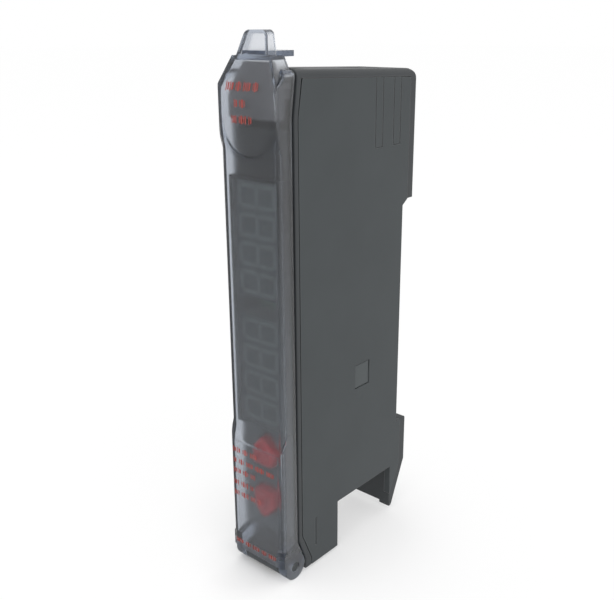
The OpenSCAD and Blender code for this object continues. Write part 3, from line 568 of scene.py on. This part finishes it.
link(board_where.outputs["Object"], board_turn.inputs["Vector"])
link(board_turn.outputs["Vector"], tracks.inputs["Vector"])
link(board_where.outputs["Object"], pads.inputs["Vector"])
link(pads.outputs["Distance"], pad_mask.inputs["Value"])
link(pad_mask.outputs["Result"], tinned.inputs["Factor"])
link(tracks.outputs["Color"], tinned.inputs["A"])
link(tinned.outputs["Result"], board_surface.inputs["Base Color"])
link(pad_mask.outputs["Result"], board_surface.inputs["Metallic"])
link(tracks.outputs["Fac"], board_bump.inputs["Height"])
link(board_bump.outputs["Normal"], board_surface.inputs["Normal"])
dress(board_green, "display_board", "main_board")

# Chips, push switches and the pin strip: black moulded resin with a sand-blasted skin, soldered to the
# boards.
chip_black = moulded("chip_black", (0.02, 0.02, 0.022), (0.05, 0.05, 0.052), grain_scale=9000, edge=0.1,
                     smooth=0.5, dull=0.7)
dress(chip_black, "controller_chip", "amplifier_chip", "up_switch", "down_switch", "board_link")

# Protective cover: one moulding of smoke grey clear plastic, slightly hazy and darker with depth, snapped
# onto the case's stub pins. Its rim along the case, its lower lip and the eyes round the stub pins are
# painted dark, a painted shade for the shadow in the seam, under the lip and in the eyes; its side walls
# and ears are satin.
base_z = -32.95 * MM
smoke_clear = clear_plastic("smoke_clear", (0.11, 0.21, 0.36), 540, 1.5, 0.255, 0.01)
nodes, link = smoke_clear.node_tree.nodes, smoke_clear.node_tree.links.new
cover_surface = nodes["Principled BSDF"]
cover_surface.inputs["Coat Roughness"].default_value = 0.4
cover_place = nodes.new("ShaderNodeSeparateXYZ")
link(nodes["where"].outputs["Object"], cover_place.inputs["Vector"])

# Painted shade along the rim: a dark line where the cover meets the case, for the shadow in the seam.
rim_lean = ramp(nodes, base_z + 64 * MM, base_z + 69 * MM, 0, 0.7 * MM)
rim_reach = maths(nodes, "SUBTRACT")
rim_line = ramp(nodes, -23.85 * MM, -23.65 * MM)
rim_low = ramp(nodes, base_z + 4.6 * MM, base_z + 5.6 * MM)
rim_high = ramp(nodes, base_z + 69.9 * MM, base_z + 69.5 * MM)
rim_ends, rim_shade_mask = maths(nodes, "MULTIPLY"), maths(nodes, "MULTIPLY")
for height in (rim_lean, rim_low, rim_high):
    link(cover_place.outputs["Z"], height.inputs["Value"])
link(cover_place.outputs["Y"], rim_reach.inputs[0])
link(rim_lean.outputs["Result"], rim_reach.inputs[1])
link(rim_reach.outputs[0], rim_line.inputs["Value"])
link(rim_low.outputs["Result"], rim_ends.inputs[0])
link(rim_high.outputs["Result"], rim_ends.inputs[1])
link(rim_ends.outputs[0], rim_shade_mask.inputs[0])
link(rim_line.outputs["Result"], rim_shade_mask.inputs[1])

# Painted shade round the eyes: dark about the stub pins' ends, for the shade in the holes.
eye_place = nodes.new("ShaderNodeCombineXYZ")
eye_reach = maths(nodes, "DISTANCE", "ShaderNodeVectorMath")
eye_reach.inputs[1].default_value = (0, stub_y, stub_z)
eye_shade_mask = ramp(nodes, 0.95 * MM, 0.8 * MM, 0, 0.35)
link(cover_place.outputs["Y"], eye_place.inputs["Y"])
link(cover_place.outputs["Z"], eye_place.inputs["Z"])
link(eye_place.outputs["Vector"], eye_reach.inputs[0])
link(eye_reach.outputs["Value"], eye_shade_mask.inputs["Value"])

# Painted shade on the lower lip: a dark band along its front, for the shadow under it.
lip_low = ramp(nodes, base_z + 3.1 * MM, base_z + 2.7 * MM, 0, 0.35)
lip_side = maths(nodes, "ABSOLUTE")
lip_span = ramp(nodes, 3.6 * MM, 3.3 * MM)
lip_shade_mask = maths(nodes, "MULTIPLY")
link(cover_place.outputs["Z"], lip_low.inputs["Value"])
link(cover_place.outputs["X"], lip_side.inputs[0])
link(lip_side.outputs[0], lip_span.inputs["Value"])
link(lip_low.outputs["Result"], lip_shade_mask.inputs[0])
link(lip_span.outputs["Result"], lip_shade_mask.inputs[1])

# The painted shades of rim, eyes and lip darken the cover's colour, which tints the light through it.
low_shade_mask, painted_shade_mask = maths(nodes, "MAXIMUM"), maths(nodes, "MAXIMUM")
painted_shade_tint = blend(nodes, (1, 1, 1), (0.06, 0.065, 0.07))
link(eye_shade_mask.outputs["Result"], low_shade_mask.inputs[0])
link(lip_shade_mask.outputs[0], low_shade_mask.inputs[1])
link(rim_shade_mask.outputs[0], painted_shade_mask.inputs[0])
link(low_shade_mask.outputs[0], painted_shade_mask.inputs[1])
link(painted_shade_mask.outputs[0], painted_shade_tint.inputs["Factor"])
link(painted_shade_tint.outputs["Result"], cover_surface.inputs["Base Color"])

ear_mask = ramp(nodes, base_z + 3.6 * MM, base_z + 2.4 * MM)
satin = nodes.new("ShaderNodeMix")
satin.inputs["B"].default_value = 0.5
link(cover_place.outputs["Z"], ear_mask.inputs["Value"])
link(ear_mask.outputs["Result"], satin.inputs["Factor"])
link(nodes["haze"].outputs["Result"], satin.inputs["A"])
link(satin.outputs["Result"], cover_surface.inputs["Roughness"])

wall_way = nodes.new("ShaderNodeNewGeometry")
wall_turn = nodes.new("ShaderNodeSeparateXYZ")
wall_side = maths(nodes, "ABSOLUTE")
wall_coat = ramp(nodes, 0.6, 0.9, 0, 0.8)
link(wall_way.outputs["True Normal"], wall_turn.inputs["Vector"])
link(wall_turn.outputs["X"], wall_side.inputs[0])
link(wall_side.outputs[0], wall_coat.inputs["Value"])
link(wall_coat.outputs["Result"], cover_surface.inputs["Coat Weight"])
softened("clear_lid", "protective_cover", 0.2, "cover", smoke_clear,
         span=(base_z + 3.2 * MM, base_z + 69 * MM), melt=50)

# Red print on the cover: rows of small plain ticks of ink, pad-printed on the head, which leans back at
# its top, and on the raised lower end.
print_red = moulded("print_red", (0.3, 0.05, 0.04), (0.3, 0.05, 0.04), grain_scale=12000, edge=0.01,
                    smooth=0.5, dull=0.6, relief=0.002)
face_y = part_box("protective_cover")[0].y
lean_start, lean = base_z + 66.6 * MM, 1.35 / 4.6
lean_back = Matrix.Rotation(-math.atan(lean), 3, "X")
tick_thick, tick_corner = 0.012 * MM, 0.06 * MM
tick_widths = (0.14, 0.24, 0.16, 0.3, 0.14, 0.2)
tick_heights = (1.0, 0.8, 1.0, 0.75)


def tick_row(mesh, z, x, groups, height, gap):
    """Groups of thin upright ticks side by side from x, on the cover's front or on its leaning top."""
    for group, count in enumerate(groups):
        for n in range(count):
            width = tick_widths[(n + 2 * group) % len(tick_widths)]
            tall = height * tick_heights[(n + group) % len(tick_heights)]
            known = set(mesh.verts)
            tick = bmesh.ops.create_cube(mesh, size=1)["verts"]
            bmesh.ops.scale(mesh, verts=tick, vec=(width * MM, tick_thick, tall * MM))
            corners = [e for e in mesh.edges if e.verts[0] not in known
                       and abs(e.verts[0].co.y - e.verts[1].co.y) > tick_thick / 2]
            bmesh.ops.bevel(mesh, geom=corners, offset=tick_corner, offset_type="OFFSET", segments=2,
                            profile=0.5, affect="EDGES", material=-1)
            tick = [v for v in mesh.verts if v not in known]
            if z > lean_start:
                bmesh.ops.rotate(mesh, verts=tick, cent=(0, 0, 0), matrix=lean_back)
            spot = Vector(((x + width / 2) * MM, face_y + max(0, z - lean_start) * lean, z))
            bmesh.ops.translate(mesh, verts=tick, vec=spot)
            x += width + gap
        x += 2 * gap


for name, rows in (
    ("head_print", [
        (67.7, -3.3, [4, 3, 4, 3], 1.15, 0.14),
        (65.75, -1.7, [2, 3], 1.0, 0.14),
        (63.85, -2.2, [3, 4, 2], 1.0, 0.14),
    ]),
    ("lower_print", [
        (18.3, -4.3, [4, 3, 4], 0.85, 0.17),
        (16.6, -4.3, [2, 3, 4, 5, 4], 0.85, 0.17),
        (15.0, -4.3, [4, 3, 3], 0.85, 0.17),
        (13.1, -4.3, [3, 4, 2], 0.85, 0.17),
        (11.4, -4.3, [3, 4, 3, 2], 0.85, 0.17),
        (3.4, -4.3, [4, 3, 4, 3, 4], 0.75, 0.17),
    ]),
):
    ticks = bmesh.new()
    for z, x, groups, height, gap in rows:
        tick_row(ticks, base_z + z * MM, x, groups, height, gap)
    bmesh.ops.recalc_face_normals(ticks, faces=ticks.faces)
    finished(name, ticks, print_red, "cover")
